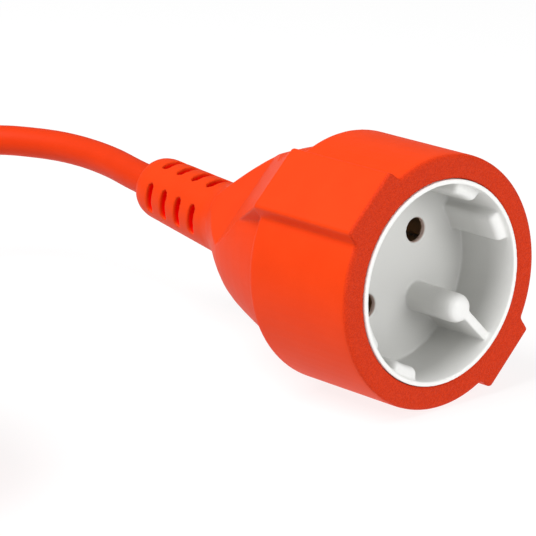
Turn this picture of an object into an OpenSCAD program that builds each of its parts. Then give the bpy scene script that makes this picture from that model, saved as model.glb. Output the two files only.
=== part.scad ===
// Garden extension lead: moulded two-pole trailing socket on a light cord,
// the cord tied in a hank with its plug. Millimetres, +Z up.
// The socket lies on its drum, axis along Y, mouth facing -Y.

/* [Socket body] */
// Outer radius of the drum at the mouth
drum_front_radius = 25.7; // [23:0.1:31]
// Outer radius of the drum at its rear edge
drum_rear_radius = 25.9; // [24:0.1:32]
// Length of the drum behind the mouth
drum_length = 28.4; // [24:0.1:36]
// Length of the domed shoulder and neck behind the drum
shoulder_length = 37.6; // [30:0.1:46]
// Radius of the neck where the strain relief starts
neck_radius = 7.7; // [6:0.1:10]
// Width of each flat side pad
pad_width = 14.8; // [10:0.1:20]
// Height of the pad face above the drum surface
pad_rise = 1.5; // [0.5:0.1:3]
// Rounding of the drum and pad edges
edge_round = 1; // [0.4:0.1:2]
// How far the socket is rolled about its own axis as it lies
roll = 45; // [0:1:90]

/* [Socket insert] */
// Radius of the round recess
recess_radius = 19.8; // [19.6:0.05:20.5]
// Depth of the recess
recess_depth = 14.6; // [13:0.1:18]
// Wall thickness of the insert
insert_wall = 0.95; // [0.8:0.05:1.6]
// Thickness of the insert floor
floor_thickness = 1.3; // [1:0.1:3]
// How far the rim of the insert stands proud of the mouth
rim_proud = 0.3; // [0:0.05:1]
// Distance between the two pin holes
pin_spacing = 19; // [18:0.1:20]
// Radius of the pin holes
pin_hole_radius = 2.55; // [2.4:0.05:3]
// Radius of the coding post
post_radius = 3; // [2:0.1:4]
// Distance of the coding post from the axis
post_offset = 10; // [8:0.1:12]
// Depth of the post tip below the mouth
post_recess = 1.2; // [0.5:0.1:5]
// Thickness of the rib behind the coding post
rib_thickness = 1.9; // [1:0.1:3]
// Height of each guide lug on the recess wall
lug_height = 2.4; // [1:0.1:3]
// Half the gap between the two lugs of a pair
lug_gap_half = 2.9; // [2:0.1:4]
// Distance from the pair centre to the outer side of a lug
lug_reach = 9.4; // [7:0.1:11]
// Depth of the ends of the two lugs away from the coding post
lug_recess_far = 2; // [0.5:0.1:6]
// Depth of the ends of the two lugs on the side of the coding post
lug_recess_near = 1; // [0.5:0.1:6]

/* [Contacts] */
// Length of the contact carrier
carrier_length = 13; // [10:0.1:18]
// Thickness of the rear cap
cap_thickness = 3; // [2:0.1:5]
// Wall thickness of the contact sleeves
sleeve_wall = 0.6; // [0.4:0.05:1]
// Length of the contact sleeves
sleeve_length = 11; // [8:0.1:14]
// Radius of the conductor insulation
conductor_radius = 1.2; // [0.9:0.05:1.6]
// Radius of the copper strands
strand_radius = 0.7; // [0.4:0.05:0.9]
// Radial clearance of the insert and the carrier
fit_clearance = 0.1; // [0.05:0.05:0.4]

/* [Cord] */
// Diameter of the cord
cord_diameter = 7; // [5:0.1:10]
// Radial clearance of the cord in its bores
cord_clearance = 0.25; // [0.1:0.05:0.6]
// Length of the strain relief sleeve
boot_length = 26; // [20:0.5:40]
// Radius of the strain relief at its rear end
boot_end_radius = 6.7; // [5.5:0.1:9]
// Number of slots in each of the four rows
boot_slots = 4; // [2:1:5]
// Width of one slot along the cord
slot_width = 2; // [1:0.1:2.4]
// Sideways lean of the strain relief
boot_lean = 3; // [0:0.5:6]
// Upward lean of the strain relief
boot_lift = 5; // [0:0.5:6]

/* [Hank] */
// Length of the straight part of the hank
hank_straight = 70; // [50:1:120]
// Turns of cord side by side
hank_rows = 3; // [2:1:4]
// Layers of cord on top of each other
hank_layers = 5; // [3:1:7]
// Width of the tie round the hank
tie_width = 9; // [5:0.5:15]
// Thickness of the tie
tie_thickness = 1.2; // [0.8:0.1:2]

/* [Plug] */
// Radius of the plug body
plug_radius = 18.3; // [17.5:0.1:19]
// Length of the round part of the plug body
plug_length = 21; // [16:0.5:30]
// Length of the shoulder behind it
plug_shoulder = 17; // [12:0.5:25]
// Length of the plug strain relief
plug_boot_length = 24; // [18:0.5:34]
// Radius of the pins
pin_radius = 2.4; // [2.2:0.05:2.5]
// How far the pins stand out
pin_length = 19; // [18:0.1:20]

/* [Hidden] */
fine = 96;
mid = 48;
small = 32;
past = 1;
orange = [0.97, 0.3, 0.12];
black = [0.1, 0.1, 0.1];
brown = [0.45, 0.25, 0.12];
blue = [0.1, 0.3, 0.75];
copper = [0.8, 0.45, 0.25];
nickel = [0.85, 0.86, 0.88];
// the socket: lengths are measured from its mouth
axis_z = drum_rear_radius;
neck_y = drum_length + shoulder_length;
front_y = -(neck_y + boot_length)/2;
cord_radius = cord_diameter/2;
bore_radius = cord_radius + cord_clearance;
cord_depth = 8;
cord_start = neck_y - cord_depth;
pad_height = drum_rear_radius + pad_rise;
pad_foot = drum_front_radius - 4;
dome_step = 2.6;
dome_radius = drum_rear_radius - dome_step;
dome_start = drum_length + 0.6;
// where the sloping flat behind a pad meets the gentler one
crease_height = neck_radius + 4.5;
crease_y = drum_length + shoulder_length*0.56;
insert_radius = recess_radius + insert_wall;
insert_back = recess_depth + floor_thickness;
carrier_radius = recess_radius - 0.2;
carrier_back = insert_back + carrier_length;
cap_radius = carrier_radius - 2;
cap_back = carrier_back + cap_thickness;
sleeve_radius = pin_hole_radius + sleeve_wall;
sleeve_back = insert_back + sleeve_length;
spring_radius = sleeve_radius + 0.5;
spring_start = insert_back + 2.5;
spring_end = spring_start + 6;
spring_play = 0.1;
split_half = 0.4;
conductor_offset = conductor_radius + 0.25;
// the strain relief
slot_half = 2.2;
slot_floor = cord_radius + 1;
slot_first = 0.125;
slot_span = 0.625;
// the hank and the plug lying on it
hank_centre_x = -123;
hank_front_y = 49;
hank_outer = cord_diameter*(hank_rows + 2);
hank_inner = cord_diameter*2.5;
hank_height = cord_diameter*hank_layers;
plug_x = hank_centre_x - 21.5;
plug_z = hank_height + plug_radius;
plug_rear_y = hank_front_y + hank_straight - 16;
plug_back = plug_length + plug_shoulder;
plug_front_y = plug_rear_y - plug_boot_length - plug_back;
bridge_start = 3;
bridge_depth = 12;
bridge_side = 3.6;
bridge_half = 3.2;
shank_radius = pin_radius - 0.3;
key_depth = 16;

// frames: the socket's own frame has its mouth at y = 0 and its axis on Y
module in_socket() translate([0, front_y, axis_z]) rotate([0, -roll, 0]) children();
module in_lying() translate([0, front_y, axis_z]) children();
module in_plug() translate([plug_x, front_y + plug_front_y, plug_z]) children();
module along_y(y0, y1, r0, r1, f)
  translate([0, y0, 0]) rotate([-90, 0, 0]) cylinder(h = y1 - y0, r1 = r0, r2 = r1, $fn = f);
module tube_y(y0, y1, r, f) along_y(y0, y1, r, r, f);
module turned(points, f) rotate([-90, 0, 0]) rotate_extrude($fn = f) polygon(points);
// a flat outline in y and z, made width thick across x
module slab_x(width, points)
  translate([-width/2, 0, 0]) rotate([90, 0, 90]) linear_extrude(width) polygon(points);
// a flat outline in x and z, made thick along y from y0
module slab_y(y0, length, points)
  translate([0, y0, 0]) rotate([90, 0, 0]) mirror([0, 0, 1]) linear_extrude(length) polygon(points);
// the same thing at both pin places
module at_pins() for (s = [-1, 1]) translate([s*pin_spacing/2, 0, 0]) children();

// a smooth line through points, n steps to each
function cr(p0, p1, p2, p3, t) = 0.5*(2*p1 + (p2 - p0)*t
  + (2*p0 - 5*p1 + 4*p2 - p3)*t*t
  + (3*p1 - p0 - 3*p2 + p3)*t*t*t);
function at(P, i) = P[max(0, min(len(P) - 1, i))];
function smooth_line(P, n) = concat(
  [for (i = [0:len(P) - 2]) for (k = [0:n - 1]) cr(at(P, i - 1), at(P, i), at(P, i + 1), at(P, i + 2), k/n)],
  [P[len(P) - 1]]);

// outline of the drum, dome and neck as radius against length
dome_knots = [[0, 1], [0.2, 0.872], [0.4, 0.725], [0.55, 0.587], [0.7, 0.372], [0.82, 0.178],
  [0.92, 0.045], [1, 0]];
dome_line = smooth_line(dome_knots, 2);
function dome_point(k) = [
  neck_radius + (dome_radius - neck_radius)*dome_line[k][1],
  dome_start + (neck_y - dome_start)*dome_line[k][0]];
body_outline = concat(
  [[0, 0],
   [drum_front_radius - edge_round, 0],
   [drum_front_radius - edge_round*0.38, edge_round*0.12],
   [drum_front_radius - edge_round*0.1, edge_round*0.4],
   [drum_front_radius, edge_round],
   [drum_rear_radius, drum_length - edge_round],
   [drum_rear_radius - edge_round*0.3, drum_length - edge_round*0.3],
   [drum_rear_radius - edge_round, drum_length],
   [dome_radius, dome_start]],
  [for (k = [1:len(dome_line) - 1]) dome_point(k)],
  [[0, neck_y]]);

module pad_solid() {
  // pad with a chamfered edge, then the wedge that runs down to the dome
  h = pad_height;
  w = pad_width/2;
  e = edge_round*0.45;
  slab_y(0, drum_length, [[-w - 0.8, pad_foot], [w + 0.8, pad_foot], [w, h - e], [w - e, h],
    [-w + e, h], [-w, h - e]]);
  slab_x(pad_width, [[drum_length - 2, pad_foot - 6], [drum_length - 2, h - e], [drum_length, h - e],
    [crease_y, crease_height], [crease_y, 5], [drum_length, 5]]);
}
module flat_cuts() {
  h = pad_height - edge_round*0.45;
  slab_x(80, [[drum_length, h], [crease_y, crease_height], [neck_y, neck_radius], [neck_y + 5, neck_radius],
    [neck_y + 5, 40], [drum_length, 40]]);
}
// one straight slanted run between two stations, cut square at both ends
module conductor_run(r, side, x0, y0, x1, y1) intersection() {
  dx = x1 - x0;
  dy = y1 - y0;
  run = sqrt(dx*dx + dy*dy);
  translate([side*x0, y0, 0]) rotate([0, 0, -side*atan2(dx, dy)]) tube_y(-6, run + 6, r, small);
  translate([-30, y0, -30]) cube([60, dy, 60]);
}
// how far the conductors stand from the axis, between a pin place and the end of the cord
function spread(y, y0, y1) = pin_spacing/2 + (conductor_offset - pin_spacing/2)*(y - y0)/(y1 - y0);
module socket_run(r, side, y0, y1)
  conductor_run(r, side, spread(y0, sleeve_back, cord_start), y0, spread(y1, sleeve_back, cord_start), y1);
module plug_run(r, side, y0, y1)
  conductor_run(r, side, spread(y0, bridge_depth, plug_back - cord_depth), y0,
    spread(y1, bridge_depth, plug_back - cord_depth), y1);

module connector_overmould() color(orange) in_socket() difference() {
  union() {
    turned(body_outline, fine);
    pad_solid();
    mirror([0, 0, 1]) pad_solid();
  }
  flat_cuts();
  mirror([0, 0, 1]) flat_cuts();
  tube_y(-past, insert_back, insert_radius + fit_clearance, fine);
  tube_y(insert_back - past, carrier_back, carrier_radius + fit_clearance, fine);
  tube_y(carrier_back - past, cap_back, cap_radius + fit_clearance, fine);
  for (s = [-1, 1]) socket_run(conductor_radius + fit_clearance, s, carrier_back, cord_start + 0.5);
  tube_y(cord_start, neck_y + past, bore_radius, mid);
}

// strain relief: four rows of slots across a tapering sleeve
module slot_cut() translate([0, 0, slot_floor]) linear_extrude(12) union() {
  square([2*slot_half, slot_width], center = true);
  for (s = [-1, 1]) translate([s*slot_half, 0]) circle(r = slot_width/2, $fn = 20);
}
module boot_shape(len, r0, r1, slots) difference() {
  turned([[0, -3], [r0 + 0.1, -3], [r0, 0], [r1 + 0.25, len - 3], [r1, len - 1.6], [r1 - 0.5, len - 0.5],
    [r1 - 1.5, len], [0, len]], mid);
  for (i = [0:slots - 1]) for (a = [0, 90, 180, 270])
    translate([0, len*(slot_first + slot_span*i/(slots - 0.999)), 0]) rotate([0, a, 0]) slot_cut();
  tube_y(-6, len + past, bore_radius, mid);
}
// what lies in front of a face at y is cut away
module cut_before(y) translate([-20, y - 20, -20]) cube([40, 20, 40]);
module strain_relief_boot() color(orange) in_lying() difference() {
  translate([0, neck_y, 0]) rotate([boot_lift, 0, -boot_lean])
    boot_shape(boot_length, neck_radius, boot_end_radius, boot_slots);
  cut_before(neck_y);
}

// one guide lug: a ridge along the wall, its front end rounded by lower, narrower layers
module lug_layer(start, sink) {
  a0 = asin((lug_gap_half + sink*0.3)/recess_radius);
  a1 = asin((lug_reach - sink*0.3)/recess_radius);
  r0 = recess_radius - lug_height + sink;
  r1 = recess_radius + insert_wall*(0.5 + sink*0.2);
  n = 8;
  outer = [for (k = [0:n]) let (a = a0 + (a1 - a0)*k/n) [r1*cos(a), r1*sin(a)]];
  inner = [for (k = [n:-1:0])
    let (a = a0 + (a1 - a0)*k/n, q = (k == 0 || k == n) ? 0.6 : 0)
    [(r0 + q)*cos(a), (r0 + q)*sin(a)]];
  slab_y(start, recess_depth - start + 0.4 + sink*0.2, concat(outer, inner));
}
module lug(start) {
  lug_layer(start, 1);
  lug_layer(start + 0.15, 0.5);
  lug_layer(start + 0.45, 0.2);
  lug_layer(start + 0.9, 0);
}
// the post's tip is a dome of short cones: depth and radius as parts of the post's radius
tip_steps = [[0, 0.35], [0.07, 0.62], [0.2, 0.82], [0.42, 0.95], [0.75, 1]];
module coding_post() translate([0, post_recess, -post_offset]) {
  for (k = [1:len(tip_steps) - 1])
    along_y(tip_steps[k - 1][0]*post_radius, tip_steps[k][0]*post_radius,
      tip_steps[k - 1][1]*post_radius, tip_steps[k][1]*post_radius, small);
  tube_y(tip_steps[len(tip_steps) - 1][0]*post_radius, recess_depth - post_recess + 0.5, post_radius, small);
}
module coding_rib() {
  depth = recess_depth - post_recess + 0.5;
  height = recess_radius + insert_wall/2 - post_offset;
  translate([-rib_thickness/2, post_recess, -post_offset - height]) cube([rib_thickness, depth, height]);
}
module socket_insert() color([0.86, 0.86, 0.84]) in_socket() difference() {
  union() {
    difference() {
      tube_y(-rim_proud, insert_back, insert_radius, fine);
      tube_y(-rim_proud - past, recess_depth, recess_radius, fine);
    }
    for (s = [0, 1]) mirror([s, 0, 0]) {
      lug(lug_recess_far);
      mirror([0, 0, 1]) lug(lug_recess_near);
    }
    coding_post();
    coding_rib();
  }
  at_pins() tube_y(0, insert_back + past, pin_hole_radius, mid);
}

module contact_carrier() color([0.25, 0.18, 0.14]) in_socket() difference() {
  tube_y(insert_back, carrier_back, carrier_radius, fine);
  at_pins() {
    tube_y(insert_back - past, carrier_back + past, sleeve_radius + fit_clearance, mid);
    tube_y(spring_start - spring_play, spring_end + spring_play, spring_radius + fit_clearance, mid);
  }
}
module rear_cap() color([0.8, 0.8, 0.78]) in_socket() difference() {
  tube_y(carrier_back, cap_back, cap_radius, fine);
  for (s = [-1, 1]) socket_run(conductor_radius + fit_clearance, s, carrier_back - past, cap_back + past);
}
// a split sleeve grips the pin, with a spring ring round it
module sleeve(side) in_socket() translate([side*pin_spacing/2, 0, 0]) difference() {
  tube_y(insert_back, sleeve_back, sleeve_radius, mid);
  tube_y(insert_back - past, sleeve_back - 1.5, pin_hole_radius, mid);
  translate([-split_half, insert_back - past, -6]) cube([2*split_half, sleeve_length - 2, 12]);
}
module contact_sleeve_live() color([0.85, 0.65, 0.3]) sleeve(-1);
module contact_sleeve_neutral() color([0.85, 0.65, 0.3]) sleeve(1);
module spring_ring(side) in_socket() translate([side*pin_spacing/2, 0, 0]) difference() {
  tube_y(spring_start, spring_end, spring_radius, mid);
  tube_y(spring_start - past, spring_end + past, sleeve_radius, mid);
  translate([0, spring_start - past, -0.5]) cube([8, spring_end - spring_start + 2*past, 1]);
}
module sleeve_spring_live() color([0.7, 0.7, 0.72]) spring_ring(-1);
module sleeve_spring_neutral() color([0.7, 0.7, 0.72]) spring_ring(1);
module conductor(side) in_socket() difference() {
  socket_run(conductor_radius, side, sleeve_back, cord_start);
  socket_run(strand_radius, side, sleeve_back - 0.5, cord_start + 0.5);
}
module conductor_live() color(brown) conductor(-1);
module conductor_neutral() color(blue) conductor(1);
module strands(side) in_socket() socket_run(strand_radius, side, sleeve_back, cord_start);
module strands_live() color(copper) strands(-1);
module strands_neutral() color(copper) strands(1);

// cord tube: rings round a smooth line through hand-set round points
sides = 12;
function unit(v) = v/norm(v);
function heading(L, i) = unit(at(L, i + 1) - at(L, i - 1));
function side_of(h) = unit(cross(h, [0, 0, 1]));
function ring(c, h, r) = let (a = side_of(h), b = cross(a, h))
  [for (k = [0:sides - 1]) c + r*(cos(360*k/sides)*a + sin(360*k/sides)*b)];
module cord_tube(L, r) {
  n = len(L);
  pts = [for (i = [0:n - 1]) each ring(L[i], heading(L, i), r)];
  faces = concat([[for (k = [0:sides - 1]) k]],
    [for (i = [0:n - 2]) for (k = [0:sides - 1]) let (m = (k + 1)%sides)
      [i*sides + k, (i + 1)*sides + k, (i + 1)*sides + m, i*sides + m]],
    [[for (k = [sides - 1:-1:0]) (n - 1)*sides + k]]);
  polyhedron(pts, faces);
}
boot_way = [sin(boot_lean)*cos(boot_lift), cos(boot_lean)*cos(boot_lift), sin(boot_lift)];
function along_boot(s) = [0, neck_y, axis_z] + s*boot_way;
// past the strain relief the points are x, then y and z as parts of the way to the hank and to the floor
boot_end = along_boot(boot_length);
turn_y = hank_front_y + hank_straight + hank_outer - boot_end[1];
drop_z = boot_end[2] - cord_radius;
lead_way = [
  [2.7, 0.288, 1.064], [2.6, 0.433, 1.088], [1.4, 0.577, 1.099], [-1.2, 0.715, 1.097],
  [-4.9, 0.847, 1.084], [-10.5, 0.96, 1.047], [-18, 1.039, 0.974], [-26.7, 1.077, 0.863],
  [-36.5, 1.08, 0.712], [-47, 1.071, 0.528], [-58, 1.055, 0.331], [-69, 1.037, 0.155],
  [-80, 1.018, 0.033], [-91, 1.005, 0.004], [-105, 1, 0], [hank_centre_x, 1, 0]];
lead_points = concat(
  [[0, cord_start, axis_z], [0, neck_y - 1, axis_z]],
  [for (s = [6, 16, boot_length - 1, boot_length + 9]) along_boot(s)],
  [for (p = lead_way) [p[0], boot_end[1] + turn_y*p[1], cord_radius + drop_z*p[2]]]);
tail_radius = 28.5;
tail_y = hank_front_y + hank_straight;
tail_x = plug_x + 2*tail_radius;
top_z = hank_height + cord_radius;
tail_points = concat(
  [for (y = [34, 22]) [tail_x, tail_y - y, top_z], [tail_x, tail_y - 10, top_z + 0.3]],
  [for (a = [10:30:160]) [
    plug_x + tail_radius + tail_radius*cos(a),
    tail_y + tail_radius*sin(a),
    top_z + (plug_z - top_z)*(0.5 - 0.5*cos(min(180, a + 15)))]],
  [for (y = [tail_y - 6, plug_rear_y - 4, plug_rear_y - plug_boot_length - 6]) [plug_x, y, plug_z]]);
module cord_lead() color(orange) translate([0, front_y, 0]) cord_tube(lead_points, cord_radius);
module cord_tail() color(orange) translate([0, front_y, 0]) cord_tube(tail_points, cord_radius);

// the hank is drawn as the outline its turns fill
module stadium(r, len) {
  translate([-r, 0]) square([2*r, len]);
  circle(r = r, $fn = 64);
  translate([0, len]) circle(r = r, $fn = 64);
}
module cord_hank() color(orange) translate([hank_centre_x, front_y + hank_front_y, 0])
  linear_extrude(hank_height) difference() {
    stadium(hank_outer + cord_radius, hank_straight);
    stadium(hank_inner, hank_straight);
  }
// a strap over one leg of the hank, its head on the inner side
module tie(y) {
  w = hank_outer + cord_radius;
  t = tie_thickness;
  leg = w - hank_inner;
  head = tie_width*0.7;
  translate([hank_centre_x, front_y + hank_front_y + y, 0]) {
    difference() {
      translate([-w - t, -tie_width/2, 0]) cube([leg + 2*t, tie_width, hank_height + t]);
      translate([-w, -tie_width/2 - past, -past]) cube([leg, tie_width + 2*past, hank_height + past]);
    }
    translate([t - hank_inner, -head/2, hank_height*0.6]) cube([4, head, head]);
  }
}
module hank_tie_left() color(black) tie(hank_straight*0.72);
module hank_tie_right() color(black)
  translate([2*hank_centre_x, 0, 0]) mirror([1, 0, 0]) tie(hank_straight*0.1);

// plug: axis on Y, pins towards -Y
module pin_bores() at_pins() tube_y(-past, bridge_depth - 1, shank_radius, small);
module bridge_block() translate([-pin_spacing/2 - bridge_side, bridge_start, -bridge_half])
  cube([pin_spacing + 2*bridge_side, bridge_depth - bridge_start, 2*bridge_half]);
// room for the coding post and its rib, and for the guide lugs
module key_ways() {
  translate([0, 0, -post_offset]) tube_y(-past, key_depth, post_radius + 0.6, small);
  translate([-rib_thickness/2 - 0.5, -past, -plug_radius - 1])
    cube([rib_thickness + 1, key_depth + past, plug_radius - post_offset + 1]);
  for (s = [-1, 1]) for (t = [-1, 1])
    translate([s*(plug_radius + 0.4), 0, t*6]) tube_y(-past, key_depth, 2.6, small);
}
module plug_overmould() color(orange) in_plug() difference() {
  turned([[0, 0], [plug_radius - 1, 0], [plug_radius, 1], [plug_radius, plug_length],
    [plug_radius - 1.2, plug_length + 2],
    [plug_radius*0.78, plug_length + plug_shoulder*0.45],
    [plug_radius*0.52, plug_length + plug_shoulder*0.8],
    [neck_radius, plug_back], [0, plug_back]], fine);
  key_ways();
  pin_bores();
  bridge_block();
  for (s = [-1, 1]) plug_run(conductor_radius, s, bridge_depth - 0.5, plug_back - cord_depth + 0.5);
  tube_y(plug_back - cord_depth, plug_back + past, bore_radius, mid);
}
module plug_boot() color(orange) in_plug() difference() {
  translate([0, plug_back, 0]) boot_shape(plug_boot_length, neck_radius, boot_end_radius, boot_slots);
  cut_before(plug_back);
}
module plug_bridge() color([0.15, 0.15, 0.15]) in_plug() difference() {
  bridge_block();
  at_pins() tube_y(-past, bridge_depth + past, shank_radius, small);
}
module plug_pin(side) in_plug() translate([side*pin_spacing/2, 0, 0]) {
  along_y(-pin_length, 1 - pin_length, pin_radius - 0.9, pin_radius, small);
  tube_y(1 - pin_length, 0, pin_radius, small);
  tube_y(0, bridge_depth, shank_radius, small);
}
module plug_pin_live() color(nickel) plug_pin(-1);
module plug_pin_neutral() color(nickel) plug_pin(1);
module plug_conductor(side) in_plug()
  plug_run(conductor_radius - fit_clearance, side, bridge_depth, plug_back - cord_depth);
module plug_conductor_live() color(brown) plug_conductor(-1);
module plug_conductor_neutral() color(blue) plug_conductor(1);

connector_overmould();
strain_relief_boot();
socket_insert();
contact_carrier();
rear_cap();
contact_sleeve_live();
contact_sleeve_neutral();
sleeve_spring_live();
sleeve_spring_neutral();
conductor_live();
conductor_neutral();
strands_live();
strands_neutral();
cord_lead();
cord_hank();
hank_tie_left();
hank_tie_right();
cord_tail();
plug_overmould();
plug_boot();
plug_bridge();
plug_pin_live();
plug_pin_neutral();
plug_conductor_live();
plug_conductor_neutral();
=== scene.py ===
"""A moulded orange extension lead: two-pole trailing socket, cord in a tied hank, round plug."""
import math

import bmesh
import bpy
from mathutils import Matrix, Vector


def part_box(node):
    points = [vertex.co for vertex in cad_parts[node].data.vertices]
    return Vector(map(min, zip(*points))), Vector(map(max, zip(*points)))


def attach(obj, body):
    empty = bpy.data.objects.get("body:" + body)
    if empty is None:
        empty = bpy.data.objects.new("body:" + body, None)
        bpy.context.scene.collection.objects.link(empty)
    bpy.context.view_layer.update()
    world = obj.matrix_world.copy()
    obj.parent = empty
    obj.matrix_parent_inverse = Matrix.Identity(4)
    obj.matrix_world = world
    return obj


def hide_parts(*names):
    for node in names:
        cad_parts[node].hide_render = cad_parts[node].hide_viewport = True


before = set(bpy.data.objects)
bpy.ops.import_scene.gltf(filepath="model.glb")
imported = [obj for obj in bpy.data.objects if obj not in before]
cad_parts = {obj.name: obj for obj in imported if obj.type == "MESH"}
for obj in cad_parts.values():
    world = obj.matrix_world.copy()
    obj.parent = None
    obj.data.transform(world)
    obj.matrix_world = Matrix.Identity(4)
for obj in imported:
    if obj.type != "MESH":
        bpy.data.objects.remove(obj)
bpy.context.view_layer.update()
MM = 0.001

# ---------------------------------------------------------------- sizes repeated from the part
CORD_R = 3.5 * MM
RECESS = 14.6 * MM
RECESS_R = 19.8 * MM
BOOT_R = 7.7 * MM
BOOT_END_R = 6.7 * MM
BOOT_LENGTH = 26 * MM
BOOT_LEAN = math.radians(3)
BOOT_LIFT = math.radians(5)
PLUG_BOOT = 24 * MM
TAIL_R = 28.5 * MM

# ---------------------------------------------------------------- places from the frame
body_low, body_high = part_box("connector_overmould")
hank_low, hank_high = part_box("cord_hank")
plug_low, plug_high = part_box("plug_overmould")
FRONT_Y = body_low[1]
NECK_Y = body_high[1]
AXIS_Z = (body_low[2] + body_high[2]) / 2
BOOT_START = Vector((0, NECK_Y, AXIS_Z))
BOOT_WAY = Vector((math.sin(BOOT_LEAN) * math.cos(BOOT_LIFT), math.cos(BOOT_LEAN) * math.cos(BOOT_LIFT),
                   math.sin(BOOT_LIFT)))
HANK_X = (hank_low[0] + hank_high[0]) / 2
HANK_OUTER = (hank_high[0] - hank_low[0]) / 2 - CORD_R
HANK_A = hank_low[1] + HANK_OUTER + CORD_R
HANK_B = hank_high[1] - HANK_OUTER - CORD_R
HANK_TOP = hank_high[2]
PLUG_X = (plug_low[0] + plug_high[0]) / 2
PLUG_Z = (plug_low[2] + plug_high[2]) / 2
PLUG_FACE_Y = plug_low[1]
PLUG_NECK_Y = plug_high[1]

# ---------------------------------------------------------------- how the hank is wound
HANK_LAYERS = 5
LAYER_TURNS = 3

# ---------------------------------------------------------------- how finely the meshes are drawn
CORD_SIDES = 24
CORD_STEP = 2.2 * MM        # from one ring of the cord to the next
CURVE_STEPS = 6             # points drawn between two points of the cord's way
LEG_STEPS = 6               # points on a left leg of the hank; a right leg has twice as many
TURN_STEP = 15              # degrees between points round the hank's ends
TAIL_STEP = 20              # degrees between points of the last bend
PIN_SIDES = 40
BODY_VOXEL = 0.25 * MM
INSERT_VOXEL = 0.22 * MM
PLUG_VOXEL = 0.4 * MM

# ---------------------------------------------------------------- colours: dark and light of a mottle, or one
ORANGE = (0.72, 0.045, 0.003), (0.79, 0.055, 0.005)
CORD_ORANGE = (0.62, 0.033, 0.002), (0.69, 0.04, 0.004)
RING_ORANGE = (0.55, 0.028, 0.003), (0.64, 0.038, 0.005)
# painted shade: deep red for the slots' shadow, lit through by light passing through the orange PVC
PAINTED_SLOT_SHADE = (0.9, 0.0015, 0.0004)
GREY = (0.83, 0.83, 0.81), (0.88, 0.88, 0.86)
# painted shade: the grey darkens down into the recess, where shade falls
PAINTED_RECESS_SHADE = (0.62, 0.62, 0.6)
# painted warm shade on the pin holes' walls: shadow tinted by light through the orange PVC
PAINTED_HOLE_SHADE = (0.72, 0.56, 0.5)
CARRIER = (0.08, 0.056, 0.047), (0.11, 0.078, 0.066)
CAP = (0.5, 0.5, 0.48), (0.6, 0.6, 0.58)
BLACK = (0.01, 0.01, 0.01), (0.03, 0.03, 0.03)
BROWN = (0.1, 0.035, 0.012), (0.14, 0.05, 0.02)
BLUE = (0.01, 0.06, 0.35), (0.02, 0.09, 0.45)
BRASS = (0.42, 0.31, 0.2), (0.5, 0.38, 0.26)
COPPER = (0.6, 0.25, 0.12), (0.75, 0.33, 0.18)
STEEL = (0.4, 0.4, 0.42), (0.55, 0.55, 0.57)
NICKEL = (0.62, 0.62, 0.6), (0.75, 0.74, 0.72)


# ---------------------------------------------------------------- camera
def make_camera():
    """A long lens, a little above and to the left of the mouth of the socket."""
    turn, height = math.radians(-40.5), math.radians(15.8)
    mouth_right, mouth_down, mouth_ahead = 34.05 * MM, 3.03 * MM, 488.27 * MM
    right = Vector((math.cos(turn), math.sin(turn), 0))
    ahead = Vector((-math.sin(turn) * math.cos(height), math.cos(turn) * math.cos(height), -math.sin(height)))
    down = ahead.cross(right)
    mouth = Vector((0, FRONT_Y, AXIS_Z))
    data = bpy.data.cameras.new("camera")
    data.sensor_width = 36
    data.lens = 167.91
    data.clip_start = 0.01
    camera = bpy.data.objects.new("camera", data)
    camera.location = mouth - right * mouth_right - down * mouth_down - ahead * mouth_ahead
    camera.rotation_euler = (math.pi / 2 - height, 0, turn)
    bpy.context.scene.collection.objects.link(camera)
    bpy.context.scene.camera = camera


# ---------------------------------------------------------------- mesh helpers
def new_object(name, mesh):
    obj = bpy.data.objects.new(name, mesh)
    bpy.context.scene.collection.objects.link(obj)
    return obj


def object_from(bm, name):
    mesh = bpy.data.meshes.new(name)
    bm.to_mesh(mesh)
    bm.free()
    return new_object(name, mesh)


def shade_smooth(obj):
    for face in obj.data.polygons:
        face.use_smooth = True


def apply_modifiers(obj):
    graph = bpy.context.evaluated_depsgraph_get()
    done = bpy.data.meshes.new_from_object(obj.evaluated_get(graph))
    obj.modifiers.clear()
    obj.data = done


def wear(obj, material):
    obj.data.materials.clear()
    obj.data.materials.append(material)


def circle(sides):
    return [2 * math.pi * k / sides for k in range(sides)]


def skin(name, rings):
    """A smooth closed piece over rings of points, each ring with as many points as the others."""
    bm = bmesh.new()
    rings = [[bm.verts.new(point) for point in ring] for ring in rings]
    for one, two in zip(rings, rings[1:]):
        for k in range(len(one)):
            after = (k + 1) % len(one)
            bm.faces.new((one[k], one[after], two[after], two[k]))
    bm.faces.new(list(reversed(rings[0])))
    bm.faces.new(rings[-1])
    bmesh.ops.recalc_face_normals(bm, faces=bm.faces)
    obj = object_from(bm, name)
    shade_smooth(obj)
    return obj


def tube(name, line, radius, sides):
    """A round tube along a line, closed at both ends, with a frame that doesn't twist."""
    rings = []
    normal = None
    for i, point in enumerate(line):
        ahead = (line[min(i + 1, len(line) - 1)] - line[max(i - 1, 0)]).normalized()
        if normal is None:
            normal = ahead.cross(Vector((0, 0, 1))).normalized()
        normal = (normal - ahead * normal.dot(ahead)).normalized()
        side = ahead.cross(normal)
        rings.append([point + (normal * math.cos(a) + side * math.sin(a)) * radius for a in circle(sides)])
    return skin(name, rings)


def lathe(name, axis, profile, sides):
    """A turned piece round a line along Y: profile is (y, radius) from end to end."""
    return skin(name, [[(axis.x + r * math.cos(a), y, axis.z + r * math.sin(a)) for a in circle(sides)]
                       for y, r in profile])


def smooth_path(points, steps):
    """A Catmull-Rom line through points."""
    line = []
    for i in range(len(points) - 1):
        p0 = points[max(0, i - 1)]
        p1, p2 = points[i], points[i + 1]
        p3 = points[min(len(points) - 1, i + 2)]
        for k in range(steps):
            t = k / steps
            line.append(0.5 * (2 * p1 + (p2 - p0) * t + (2 * p0 - 5 * p1 + 4 * p2 - p3) * t * t
                               + (3 * p1 - p0 - 3 * p2 + p3) * t ** 3))
    line.append(points[-1])
    return line


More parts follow.
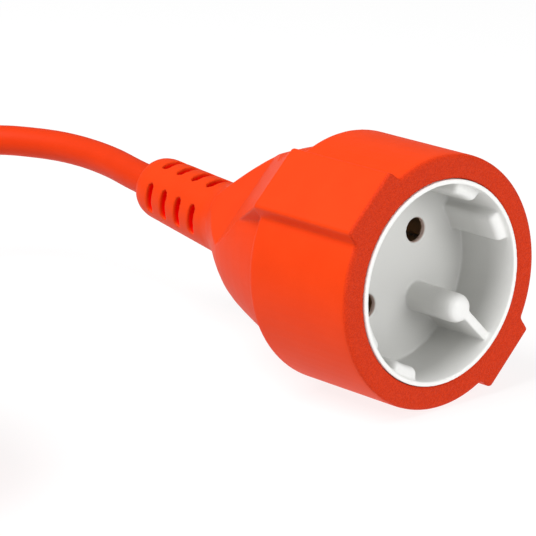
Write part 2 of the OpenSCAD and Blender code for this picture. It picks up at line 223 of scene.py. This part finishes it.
def even_path(line, step):
    """The same line with points a constant step apart."""
    out, left = [line[0]], step
    for a, b in zip(line, line[1:]):
        run = (b - a).length
        at = 0.0
        while run - at >= left:
            at += left
            out.append(a + (b - a) * (at / run))
            left = step
        left -= run - at
    if (out[-1] - line[-1]).length > step * 0.3:
        out.append(line[-1])
    return out


def ease(t):
    """From 0 to 1, level at the start and at the end."""
    t = min(1, max(0, t))
    return t * t * (3 - 2 * t)


# ---------------------------------------------------------------- socket, insert and plug
def soft_copy(name, nodes, voxel, rounds, firm=None, firm_rounds=0):
    """One skin over the CAD nodes, with every edge softened as a moulding's is.

    firm(point) says where the edges stay crisper, with fewer rounds of smoothing."""
    bm = bmesh.new()
    for node in nodes:
        bm.from_mesh(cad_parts[node].data)
    obj = object_from(bm, name)
    remesh = obj.modifiers.new("remesh", "REMESH")
    remesh.mode = "VOXEL"
    remesh.voxel_size = voxel
    apply_modifiers(obj)
    crisp = [v.index for v in obj.data.vertices if firm and firm(v.co)]
    held = set(crisp)
    soft = [v.index for v in obj.data.vertices if v.index not in held]
    for label, indices, times in (("soft", soft, rounds), ("firm", crisp, firm_rounds)):
        if indices:
            obj.vertex_groups.new(name=label).add(indices, 1, "REPLACE")
            smooth = obj.modifiers.new(label, "SMOOTH")
            smooth.factor = 0.5
            smooth.iterations = times
            smooth.vertex_group = label
    apply_modifiers(obj)
    shade_smooth(obj)
    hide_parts(*nodes)
    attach(obj, "root")
    return obj


def on_boot(p):
    """Whether a point of the socket's body is on the strain relief."""
    return p.y > NECK_Y - 1 * MM


def off_lugs(p):
    """Whether a point of the insert is anywhere but on a guide lug."""
    lug_inner = 14.5 * MM
    lug_outer = RECESS_R - 0.3 * MM
    lug_side = 11 * MM
    lug_back = FRONT_Y + RECESS - 1 * MM
    x, z = p.x, p.z - AXIS_Z
    toward, across = abs(x + z) / math.sqrt(2), abs(x - z) / math.sqrt(2)
    return toward <= lug_inner or across >= lug_side or math.hypot(x, z) >= lug_outer or p.y >= lug_back


def make_body(material):
    body = soft_copy("body", ["connector_overmould", "strain_relief_boot"], BODY_VOXEL, 11, on_boot, 6)
    wear(body, material)


def make_insert(material):
    insert = soft_copy("insert", ["socket_insert"], INSERT_VOXEL, 22, off_lugs, 6)
    wear(insert, material)


def make_plug(material):
    plug = soft_copy("plug_body", ["plug_overmould", "plug_boot"], PLUG_VOXEL, 8)
    wear(plug, material)
    return plug


def make_pin(side, material):
    """A round-nosed plug pin, slimmer where it enters the plug's bridge."""
    node = "plug_pin_" + side
    low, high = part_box(node)
    radius = (high[0] - low[0]) / 2
    waist = radius - 0.3 * MM
    nose_length = 0.9 * radius
    nose_angles = [math.radians(a) for a in (8, 20, 35, 50, 65, 80, 90)]
    axis = Vector(((low[0] + high[0]) / 2, 0, PLUG_Z))
    nose = [(low[1] + nose_length * (1 - math.cos(a)), radius * math.sin(a)) for a in nose_angles]
    shank = [(PLUG_FACE_Y - 2 * MM, radius), (PLUG_FACE_Y - 0.3 * MM, radius), (PLUG_FACE_Y, radius)]
    foot = [(PLUG_FACE_Y + 0.1 * MM, waist), (high[1], waist)]
    pin = lathe("pin_" + side, axis, nose + shank + foot, PIN_SIDES)
    wear(pin, material)
    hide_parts(node)
    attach(pin, "root")
    return pin


# ---------------------------------------------------------------- cord and straps
def boot_point(s):
    """The middle of the strain relief, a way s behind the neck."""
    return BOOT_START + BOOT_WAY * s


def lead_points():
    """From inside the socket, out of the strain relief, round to the left and down to the floor."""
    inside = 8 * MM
    end = boot_point(BOOT_LENGTH)
    turn_y = HANK_B + HANK_OUTER - end.y
    drop_z = end.z - CORD_R
    points = [Vector((0, NECK_Y - inside, AXIS_Z)), Vector((0, NECK_Y - 1 * MM, AXIS_Z))]
    points += [boot_point(s * MM) for s in (6, 16, 25, 35)]
    for x, y, z in ((2.7, 0.288, 1.064), (2.6, 0.433, 1.088), (1.4, 0.577, 1.099), (-1.2, 0.715, 1.097),
                    (-4.9, 0.847, 1.084), (-10.5, 0.96, 1.047), (-18, 1.039, 0.974), (-26.7, 1.077, 0.863),
                    (-36.5, 1.08, 0.712), (-47, 1.071, 0.528), (-58, 1.055, 0.331), (-69, 1.037, 0.155),
                    (-80, 1.018, 0.033), (-91, 1.005, 0.004), (-105, 1, 0)):
        points.append(Vector((x * MM, end.y + turn_y * y, CORD_R + drop_z * z)))
    return points


def hank_turns():
    """(radius, height) of each turn: side by side in a layer, layer on layer, in and out by turns."""
    pitch = 2 * CORD_R
    turns = []
    for layer in range(HANK_LAYERS):
        radii = [HANK_OUTER - pitch * k for k in range(LAYER_TURNS)]
        if layer % 2:
            radii.reverse()
        turns += [(r, CORD_R + pitch * layer) for r in radii]
    return turns


def hank_bend(middle_y, r, z, first, last):
    """Round one end of the hank, from one angle to another."""
    return [Vector((HANK_X + r * math.cos(math.radians(a)), middle_y + r * math.sin(math.radians(a)), z))
            for a in range(first, last, TURN_STEP)]


def hank_points():
    """Flat oblong turns, each passing over to the next along its right leg."""
    turns = hank_turns()
    after = turns[1:] + [(PLUG_X + 2 * TAIL_R - HANK_X, HANK_TOP + CORD_R)]
    points = []
    for n, ((r, z), (r_next, z_next)) in enumerate(zip(turns, after)):
        last = n == len(turns) - 1
        points += hank_bend(HANK_B, r, z, 0 if n else 90, 180)
        points += [Vector((HANK_X - r, HANK_B + (HANK_A - HANK_B) * k / LEG_STEPS, z))
                   for k in range(LEG_STEPS)]
        points += hank_bend(HANK_A, r, z, 180, 360)
        for k in range(LEG_STEPS * 2):
            t = k / (LEG_STEPS * 2)
            # the last run clears the strap before it climbs
            climb, shift = ((t - 0.17) / 0.46, (t - 0.45) / 0.55) if last else (2 * t, 2 * t - 1)
            points.append(Vector((HANK_X + r + (r_next - r) * ease(shift), HANK_A + (HANK_B - HANK_A) * t,
                                  z + (z_next - z) * ease(climb))))
    return points


def tail_points():
    """From above the top layer, round over the hank's end and back into the plug."""
    centre = Vector((PLUG_X + TAIL_R, HANK_B, 0))
    low, high = HANK_TOP + CORD_R, PLUG_Z
    early = 15   # degrees by which the height is ahead of the bend
    inside = 6 * MM
    points = []
    for a in range(0, 180, TAIL_STEP):
        z = low + (high - low) * (0.5 - 0.5 * math.cos(math.radians(min(180, a + early))))
        across = Vector((TAIL_R * math.cos(math.radians(a)), TAIL_R * math.sin(math.radians(a)), z))
        points.append(centre + across)
    points.append(Vector((PLUG_X, HANK_B - 6 * MM, high)))
    points.append(Vector((PLUG_X, PLUG_NECK_Y + PLUG_BOOT - 4 * MM, high)))
    points.append(Vector((PLUG_X, PLUG_NECK_Y - inside, high)))
    return points


def make_cord(material):
    """The whole cord in one piece, from inside the socket to inside the plug."""
    route = smooth_path(lead_points() + hank_points() + tail_points(), CURVE_STEPS)
    line = even_path(route, CORD_STEP)
    cord = tube("cord", line, CORD_R, CORD_SIDES)
    wear(cord, material)
    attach(cord, "root")
    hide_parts("cord_lead", "cord_hank", "cord_tail")
    return cord, line


def make_tie(side, material):
    """The strap over one leg of the hank, with its edges rounded."""
    node = "hank_tie_" + side
    strap = new_object("tie_" + side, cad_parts[node].data.copy())
    bevel = strap.modifiers.new("bevel", "BEVEL")
    bevel.width = 0.35 * MM
    bevel.segments = 3
    bevel.limit_method = "ANGLE"
    apply_modifiers(strap)
    wear(strap, material)
    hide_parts(node)
    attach(strap, "root")
    return strap


# ---------------------------------------------------------------- shader helpers
def node_material(name):
    material = bpy.data.materials.new(name)
    material.use_nodes = True
    tree = material.node_tree
    return material, tree, tree.nodes["Principled BSDF"]


def fill(tree, socket, value):
    """Links another node's output to a socket, or sets the socket to a number, a place or a colour."""
    if isinstance(value, bpy.types.NodeSocket):
        tree.links.new(value, socket)
    elif socket.type == "RGBA":
        socket.default_value = (*value, 1)
    else:
        socket.default_value = value


def place_of(tree):
    return tree.nodes.new("ShaderNodeTexCoord").outputs["Object"]


def axis_of(tree, place, axis):
    split = tree.nodes.new("ShaderNodeSeparateXYZ")
    tree.links.new(place, split.inputs["Vector"])
    return split.outputs[axis]


def calculate(tree, operation, *values):
    node = tree.nodes.new("ShaderNodeMath")
    node.operation = operation
    for socket, value in zip(node.inputs, values):
        fill(tree, socket, value)
    return node.outputs["Value"]


def calculate_vector(tree, operation, result, *values):
    node = tree.nodes.new("ShaderNodeVectorMath")
    node.operation = operation
    for socket, value in zip(node.inputs, values):
        fill(tree, socket, value)
    return node.outputs[result]


def remap(tree, value, low, high, to_low=0, to_high=1):
    """Value low becomes to_low and value high becomes to_high, with nothing beyond them."""
    node = tree.nodes.new("ShaderNodeMapRange")
    for name, number in (("From Min", low), ("From Max", high), ("To Min", to_low), ("To Max", to_high)):
        node.inputs[name].default_value = number
    tree.links.new(value, node.inputs["Value"])
    return node.outputs["Result"]


def blend(tree, factor, one, two):
    """Colour one where factor is 0, colour two where it is 1."""
    node = tree.nodes.new("ShaderNodeMix")
    node.data_type = "RGBA"
    tree.links.new(factor, node.inputs["Factor"])
    fill(tree, node.inputs["A"], one)
    fill(tree, node.inputs["B"], two)
    return node.outputs["Result"]


def grain(tree, scale, detail=3):
    noise = tree.nodes.new("ShaderNodeTexNoise")
    noise.inputs["Scale"].default_value = scale
    noise.inputs["Detail"].default_value = detail
    tree.links.new(place_of(tree), noise.inputs["Vector"])
    return noise.outputs["Fac"]


def bump(tree, shader, height, strength, distance):
    node = tree.nodes.new("ShaderNodeBump")
    node.inputs["Strength"].default_value = strength
    node.inputs["Distance"].default_value = distance
    tree.links.new(height, node.inputs["Height"])
    tree.links.new(node.outputs["Normal"], shader.inputs["Normal"])


def paint(tree, shader, colour):
    tree.links.new(colour, shader.inputs["Base Color"])


# ---------------------------------------------------------------- materials
def pvc_base(name, colours):
    """Orange moulded PVC with a faint mottle and no surface grain yet."""
    material, tree, shader = node_material(name)
    colour = blend(tree, grain(tree, 160), *colours)
    paint(tree, shader, colour)
    shader.inputs["Roughness"].default_value = 0.5
    shader.inputs["Specular IOR Level"].default_value = 0.09
    return material, tree, shader, colour


def fine_grain(tree):
    return grain(tree, 3600, 2)


def soft_pvc(name, colours):
    """The PVC of the cord and the plug, evenly grained."""
    material, tree, shader, _ = pvc_base(name, colours)
    bump(tree, shader, fine_grain(tree), 0.2, 0.04 * MM)
    return material


def out_of_slot_shade(tree, place, y):
    """0 down in the strain relief's slots, where the painted slot shade goes; 1 on its skin, at its end and
    all over the socket's body.
    """
    deep, brim, end_cap = 0.9 * MM, 0.2 * MM, 2.2 * MM
    from_start = calculate_vector(tree, "SUBTRACT", "Vector", place, BOOT_START)
    square_to_way = calculate_vector(tree, "CROSS_PRODUCT", "Vector", from_start, BOOT_WAY)
    from_axis = calculate_vector(tree, "DISTANCE", "Value", square_to_way, (0, 0, 0))
    along = calculate_vector(tree, "DOT_PRODUCT", "Value", from_start, BOOT_WAY)
    untapered = calculate(tree, "MULTIPLY_ADD", along, (BOOT_R - BOOT_END_R) / BOOT_LENGTH, from_axis)
    on_skin = remap(tree, untapered, BOOT_R - deep, BOOT_R - brim)
    at_end = calculate(tree, "GREATER_THAN", along, BOOT_LENGTH - end_cap)
    on_body = calculate(tree, "LESS_THAN", y, NECK_Y + 0.5 * MM)
    elsewhere = calculate(tree, "MAXIMUM", at_end, on_body)
    return calculate(tree, "MAXIMUM", on_skin, elsewhere)


def body_pvc(name, colours):
    """The PVC of the socket: spark-grained on the flat ring round the mouth, with painted shade down in the
    slots: a deep red for shadow lit through the PVC.
    """
    ring_front, ring_back = FRONT_Y + 0.3 * MM, FRONT_Y + 0.9 * MM
    grain_off_ring = 0.12
    material, tree, shader, colour = pvc_base(name, colours)
    place = place_of(tree)
    y = axis_of(tree, place, "Y")
    fine = fine_grain(tree)
    ring = remap(tree, y, ring_back, ring_front, grain_off_ring, 1)
    bump(tree, shader, calculate(tree, "MULTIPLY", fine, ring), 1, 0.22 * MM)
    specks = blend(tree, remap(tree, fine, 0.4, 0.6), *RING_ORANGE)
    colour = blend(tree, ring, colour, specks)
    # painted shade: the slots take the deep red in place of shadow glowing through the PVC
    paint(tree, shader, blend(tree, out_of_slot_shade(tree, place, y), PAINTED_SLOT_SHADE, colour))
    return material


def insert_grey(name):
    """The insert's grey plastic, with painted shade: darker down in the recess, and a warm taupe on the walls
    of the pin holes for shadow tinted by light through the orange PVC.
    """
    floor_y = FRONT_Y + RECESS
    material, tree, shader = node_material(name)
    mottle = grain(tree, 900)
    y = axis_of(tree, place_of(tree), "Y")
    # painted shade, darker from the mouth down into the recess
    recess_shade = remap(tree, y, FRONT_Y + 0.4 * MM, FRONT_Y + 7 * MM)
    # painted warm shade on the walls of the pin holes
    hole_shade = remap(tree, y, floor_y + 0.1 * MM, floor_y + 0.3 * MM)
    colour = blend(tree, recess_shade, blend(tree, mottle, *GREY), PAINTED_RECESS_SHADE)
    paint(tree, shader, blend(tree, hole_shade, colour, PAINTED_HOLE_SHADE))
    shader.inputs["Roughness"].default_value = 0.4
    bump(tree, shader, mottle, 0.15, 0.03 * MM)
    return material


def plain_plastic(name, colours, roughness):
    material, tree, shader = node_material(name)
    mottle = grain(tree, 900)
    paint(tree, shader, blend(tree, mottle, *colours))
    shader.inputs["Roughness"].default_value = roughness
    bump(tree, shader, mottle, 0.15, 0.03 * MM)
    return material


def ribbed_plastic(name, colours, roughness, rib_step):
    """Plastic whose fine ribs lie along Y, across a strap round a leg of the hank."""
    wave_period = math.pi / 10   # of the wave texture at scale 1
    material, tree, shader = node_material(name)
    paint(tree, shader, blend(tree, grain(tree, 900), *colours))
    shader.inputs["Roughness"].default_value = roughness
    place = place_of(tree)
    along_strap = calculate(tree, "ADD", axis_of(tree, place, "X"), axis_of(tree, place, "Z"))
    join = tree.nodes.new("ShaderNodeCombineXYZ")
    tree.links.new(along_strap, join.inputs["X"])
    wave = tree.nodes.new("ShaderNodeTexWave")
    wave.inputs["Scale"].default_value = wave_period / rib_step
    tree.links.new(join.outputs["Vector"], wave.inputs["Vector"])
    bump(tree, shader, wave.outputs["Fac"], 0.35, 0.1 * MM)
    return material


def metal(name, colours, roughness):
    material, tree, shader = node_material(name)
    streak = grain(tree, 1500)
    paint(tree, shader, blend(tree, streak, *colours))
    shader.inputs["Metallic"].default_value = 1
    shader.inputs["Roughness"].default_value = roughness
    bump(tree, shader, streak, 0.1, 0.02 * MM)
    return material


# ---------------------------------------------------------------- stage
def make_floor():
    """A dull floor that glows nearly white, so that it takes only a faint shadow."""
    bm = bmesh.new()
    bmesh.ops.create_grid(bm, x_segments=1, y_segments=1, size=4)
    floor = object_from(bm, "floor")
    floor.location.z = -0.2 * MM
    material, _, shader = node_material("floor")
    shader.inputs["Base Color"].default_value = (0.16, 0.16, 0.16, 1)
    shader.inputs["Roughness"].default_value = 0.9
    shader.inputs["Emission Color"].default_value = (1, 1, 1, 1)
    shader.inputs["Emission Strength"].default_value = 0.84
    wear(floor, material)


def make_world():
    world = bpy.data.worlds.new("world")
    bpy.context.scene.world = world
    world.use_nodes = True
    background = world.node_tree.nodes["Background"]
    background.inputs["Color"].default_value = (1, 1, 1, 1)
    background.inputs["Strength"].default_value = 0.3


def area_light(name, place, size, power):
    """A square light that faces the socket."""
    target = Vector((0, 0, 0.02))
    data = bpy.data.lights.new(name, "AREA")
    data.size = size
    data.energy = power
    light = bpy.data.objects.new(name, data)
    light.location = place
    light.rotation_euler = (target - Vector(place)).to_track_quat("-Z", "Y").to_euler()
    bpy.context.scene.collection.objects.link(light)


# ---------------------------------------------------------------- build
make_camera()
make_floor()
make_world()
bpy.context.scene.view_settings.view_transform = "Standard"
area_light("key", (-0.5, 0.05, 0.75), 0.6, 9.5)
area_light("front", (0.1, -0.85, 0.3), 0.5, 3.6)

carrier = plain_plastic("carrier_plastic", CARRIER, 0.5)
brown = plain_plastic("brown_insulation", BROWN, 0.4)
blue = plain_plastic("blue_insulation", BLUE, 0.4)
brass = metal("brass", BRASS, 0.4)
copper = metal("copper", COPPER, 0.35)
steel = metal("spring_steel", STEEL, 0.35)
nickel = metal("pin_nickel", NICKEL, 0.22)
black = ribbed_plastic("tie_black", BLACK, 0.4, 1.2 * MM)

cord, cord_line = make_cord(soft_pvc("orange_cord", CORD_ORANGE))
make_body(body_pvc("orange_body", ORANGE))
make_insert(insert_grey("grey_insert"))
plug = make_plug(soft_pvc("orange_pvc", ORANGE))
pins = [make_pin(side, nickel) for side in ("live", "neutral")]
ties = [make_tie(side, black) for side in ("left", "right")]

for node, material in (
        ("contact_carrier", carrier), ("rear_cap", plain_plastic("cap_plastic", CAP, 0.45)),
        ("contact_sleeve_live", brass), ("contact_sleeve_neutral", brass),
        ("sleeve_spring_live", steel), ("sleeve_spring_neutral", steel),
        ("conductor_live", brown), ("conductor_neutral", blue),
        ("strands_live", copper), ("strands_neutral", copper), ("plug_bridge", carrier),
        ("plug_conductor_live", brown), ("plug_conductor_neutral", blue)):
    wear(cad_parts[node], material)
